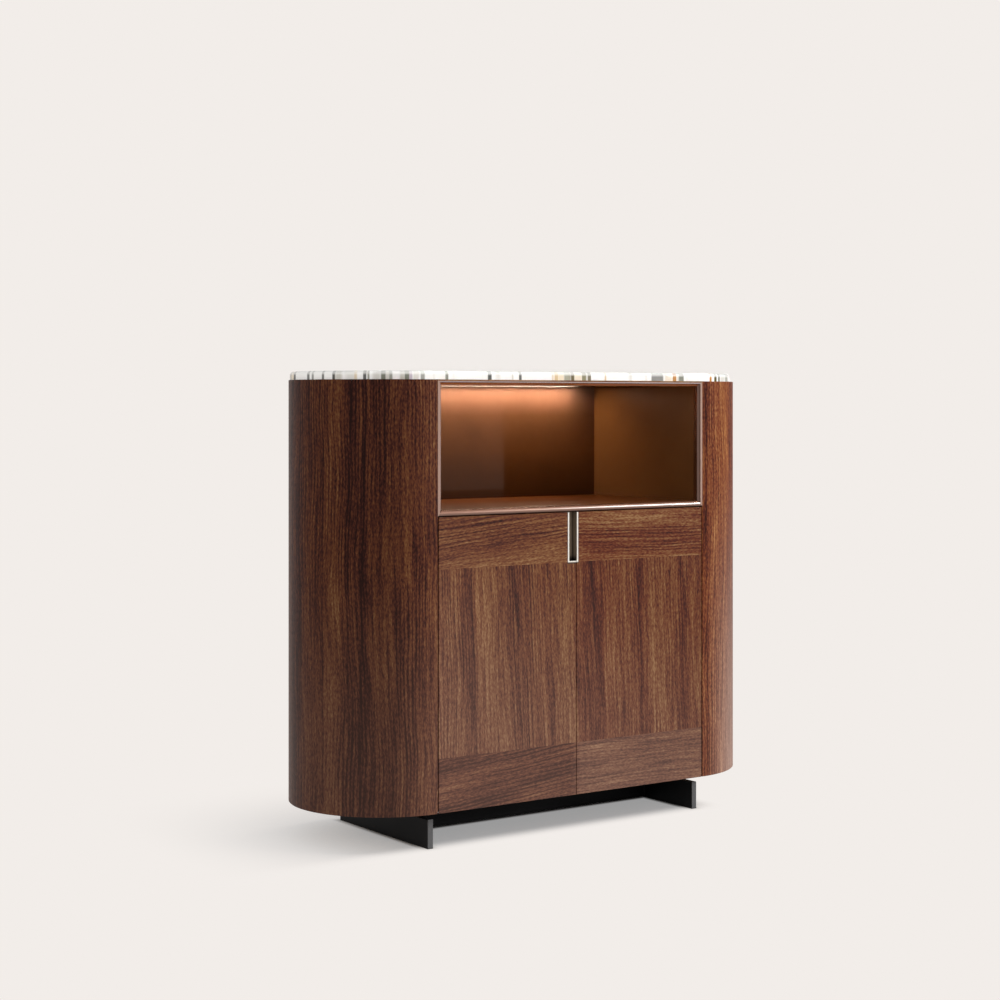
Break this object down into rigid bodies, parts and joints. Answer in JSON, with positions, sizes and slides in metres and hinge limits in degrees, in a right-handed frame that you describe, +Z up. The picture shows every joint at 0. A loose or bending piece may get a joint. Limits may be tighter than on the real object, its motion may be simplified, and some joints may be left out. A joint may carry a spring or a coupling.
{
  "type": "credenza",
  "caption": "High credenza with rounded walnut ends, a lit bronze niche over hinged doors with a flush handle, a banded stone top and a black plate base.",
  "frame": {"origin": "on the floor, under the middle of the body", "axes": "+X along the front to the right, +Y from the front to the back, +Z up"},
  "size_m": [1.2598, 0.46, 1.106],
  "materials": {
    "marble": "polished, with grey, green and gold bands",
    "walnut_veneer": "satin dark walnut veneer",
    "carcass_board": "satin walnut foil on board",
    "raw_plywood": "bare birch plywood",
    "niche_lacquer": "gloss bronze lacquer on board",
    "bronze_frame": "satin bronze anodised bar",
    "handle_metal": "satin nickel",
    "hinge_steel": "plain steel",
    "bush_brass": "plain brass",
    "base_steel": "satin black powder coat",
    "plinth_paint": "black lacquer on board",
    "pad_rubber": "matt",
    "light_channel": "satin anodised",
    "light_cover": "frosted, lit from behind",
    "black_plastic": "fine moulded texture",
    "white_plastic": "fine moulded texture"
  },
  "bodies": {
    "carcass": {"marble_top": "marble", "back_panel": "walnut_veneer", "cable_grommet": "black_plastic", "bottom_panel": "carcass_board", "mid_deck": "carcass_board", "shelf": "carcass_board", "shelf_pins": "hinge_steel", "niche_floor": "niche_lacquer", "niche_ceiling": "niche_lacquer", "niche_back": "niche_lacquer", "top_lipping": "walnut_veneer", "frame_top_rail": "bronze_frame", "frame_bottom_rail": "bronze_frame", "led_channel": "light_channel", "led_board": "white_plastic", "led_diffuser": "light_cover", "led_driver": "white_plastic", "strap_screws": "hinge_steel", "plinth_board": "plinth_paint", "plinth_screws": "hinge_steel", "plate_screws": "hinge_steel", "base_spine": "base_steel", "right_end_shell": "walnut_veneer", "left_end_shell": "walnut_veneer", "right_partition": "carcass_board", "left_partition": "carcass_board", "right_niche_wall": "niche_lacquer", "left_niche_wall": "niche_lacquer", "right_frame_stile": "bronze_frame", "left_frame_stile": "bronze_frame", "right_catch": "black_plastic", "left_catch": "black_plastic", "right_base_plate": "base_steel", "left_base_plate": "base_steel", "right_base_pad": "pad_rubber", "left_base_pad": "pad_rubber", "right_pivot_pins": "hinge_steel", "left_pivot_pins": "hinge_steel", "right_bottom_rib": "raw_plywood", "left_bottom_rib": "raw_plywood", "right_middle_rib": "raw_plywood", "left_middle_rib": "raw_plywood", "right_top_rib": "raw_plywood", "left_top_rib": "raw_plywood", "right_bottom_strap": "hinge_steel", "left_bottom_strap": "hinge_steel", "right_top_strap": "hinge_steel", "left_top_strap": "hinge_steel"},
    "left_door": {"left_door_panel": "walnut_veneer", "handle_channel": "handle_metal", "left_pivot_bushes": "bush_brass", "left_strike_plate": "hinge_steel"},
    "right_door": {"right_door_panel": "walnut_veneer", "handle_edge_strip": "handle_metal", "right_pivot_bushes": "bush_brass", "right_strike_plate": "hinge_steel"}
  },
  "joints": [
    {"name": "left_door_hinge", "type": "hinge", "parent": "carcass", "child": "left_door", "pos_m": [-0.3876, -0.223, 0.086], "axis": [0, 0, -1], "range_deg": [0, 90]},
    {"name": "right_door_hinge", "type": "hinge", "parent": "carcass", "child": "right_door", "pos_m": [0.3876, -0.223, 0.086], "axis": [0, 0, 1], "range_deg": [0, 90]}
  ]
}
